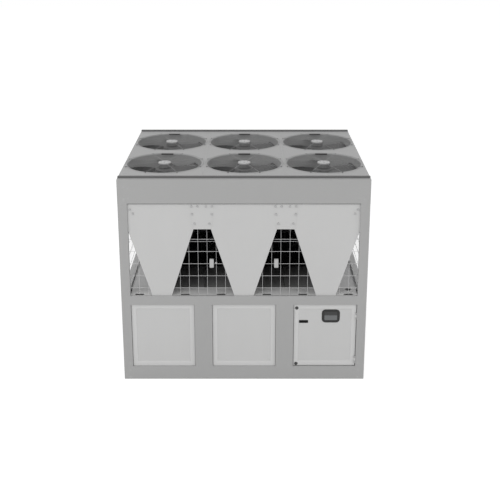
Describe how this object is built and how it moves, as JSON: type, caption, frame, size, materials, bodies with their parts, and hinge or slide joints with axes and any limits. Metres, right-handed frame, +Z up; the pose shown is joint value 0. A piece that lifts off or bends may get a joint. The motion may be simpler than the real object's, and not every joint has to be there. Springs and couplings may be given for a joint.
{
  "type": "scroll chiller",
  "caption": "Air-cooled scroll chiller of V-coil modules under a deck of axial fans, with a hinged control door and water connections at the back.",
  "frame": {"origin": "on the floor, at the centre of the casing's footprint and of its anchor holes", "axes": "+Z up, +X to the right across the front, -Y towards the front with the control door"},
  "size_m": [2.292, 2.1501, 2],
  "materials": {
    "frame_paint": "satin polyester powder coat",
    "panel_paint": "satin polyester powder coat",
    "deck_paint": "satin polyester powder coat",
    "tray_coating": "matt bituminous coating",
    "coil_black": "matt epoxy on aluminium fins",
    "guard_wire": "galvanised",
    "guard_coating": "satin powder coat",
    "rotor_plastic": "moulded",
    "motor_paint": "satin",
    "seal_rubber": "matt",
    "window_dark": "tinted, glossy",
    "pull_black": "moulded",
    "lock_zinc": "die cast",
    "hinge_zinc": "zinc plated",
    "box_zinc": "galvanised sheet",
    "sensor_plastic": "moulded",
    "pipe_paint": "primer"
  },
  "bodies": {
    "casing": {"base_rails": "frame_paint", "base_side_rails": "frame_paint", "base_cross_members": "frame_paint", "corner_posts": "frame_paint", "mullions": "frame_paint", "mid_rails": "frame_paint", "mid_side_rails": "frame_paint", "drip_trays": "tray_coating", "front_panel_left": "panel_paint", "front_panel_middle": "panel_paint", "back_panels": "panel_paint", "side_panels_right": "panel_paint", "side_panels_left": "panel_paint", "door_hinges": "hinge_zinc", "control_box": "box_zinc", "coils": "coil_black", "coil_feet": "tray_coating", "v_end_plates_front": "panel_paint", "v_end_plates_back": "panel_paint", "gussets": "panel_paint", "wire_guard_front": "guard_wire", "wire_guard_left": "guard_wire", "wire_guard_right": "guard_wire", "back_closing_plates": "panel_paint", "sensor_boxes": "sensor_plastic", "fascia_front": "frame_paint", "fascia_back": "frame_paint", "fascia_sides": "frame_paint", "plenum_partitions": "box_zinc", "deck_panel_left": "deck_paint", "deck_panel_middle": "deck_paint", "deck_panel_right": "deck_paint", "deck_seal_strips": "seal_rubber", "fan_guards": "guard_coating", "fan_motors": "motor_paint", "water_stubs": "pipe_paint"},
    "control_door": {"control_door": "panel_paint", "door_window": "window_dark", "door_pull": "pull_black"},
    "lower_lock": {"lower_lock": "lock_zinc"},
    "upper_lock": {"upper_lock": "lock_zinc"},
    "fan_rotor_front_left": {"fan_rotor_front_left": "rotor_plastic"},
    "fan_rotor_front_middle": {"fan_rotor_front_middle": "rotor_plastic"},
    "fan_rotor_front_right": {"fan_rotor_front_right": "rotor_plastic"},
    "fan_rotor_back_left": {"fan_rotor_back_left": "rotor_plastic"},
    "fan_rotor_back_middle": {"fan_rotor_back_middle": "rotor_plastic"},
    "fan_rotor_back_right": {"fan_rotor_back_right": "rotor_plastic"}
  },
  "joints": [
    {"name": "control_door_hinge", "type": "hinge", "parent": "casing", "child": "control_door", "pos_m": [1.0525, -1.0228, 0.45], "axis": [0, 0, 1], "range_deg": [0, 110]},
    {"name": "lower_lock_turn", "type": "hinge", "parent": "control_door", "child": "lower_lock", "pos_m": [0.4954, -1, 0.156], "axis": [0, -1, 0], "range_deg": [0, 90]},
    {"name": "upper_lock_turn", "type": "hinge", "parent": "control_door", "child": "upper_lock", "pos_m": [0.4954, -1, 0.731], "axis": [0, 1, 0], "range_deg": [0, 90]},
    {"name": "fan_rotor_front_left_spin", "type": "hinge", "parent": "casing", "child": "fan_rotor_front_left", "pos_m": [-0.764, -0.44, 1.9], "axis": [0, 0, 1], "continuous": true},
    {"name": "fan_rotor_front_middle_spin", "type": "hinge", "parent": "casing", "child": "fan_rotor_front_middle", "pos_m": [0, -0.44, 1.9], "axis": [0, 0, 1], "continuous": true},
    {"name": "fan_rotor_front_right_spin", "type": "hinge", "parent": "casing", "child": "fan_rotor_front_right", "pos_m": [0.764, -0.44, 1.9], "axis": [0, 0, 1], "continuous": true},
    {"name": "fan_rotor_back_left_spin", "type": "hinge", "parent": "casing", "child": "fan_rotor_back_left", "pos_m": [-0.764, 0.44, 1.9], "axis": [0, 0, 1], "continuous": true},
    {"name": "fan_rotor_back_middle_spin", "type": "hinge", "parent": "casing", "child": "fan_rotor_back_middle", "pos_m": [0, 0.44, 1.9], "axis": [0, 0, 1], "continuous": true},
    {"name": "fan_rotor_back_right_spin", "type": "hinge", "parent": "casing", "child": "fan_rotor_back_right", "pos_m": [0.764, 0.44, 1.9], "axis": [0, 0, 1], "continuous": true}
  ]
}
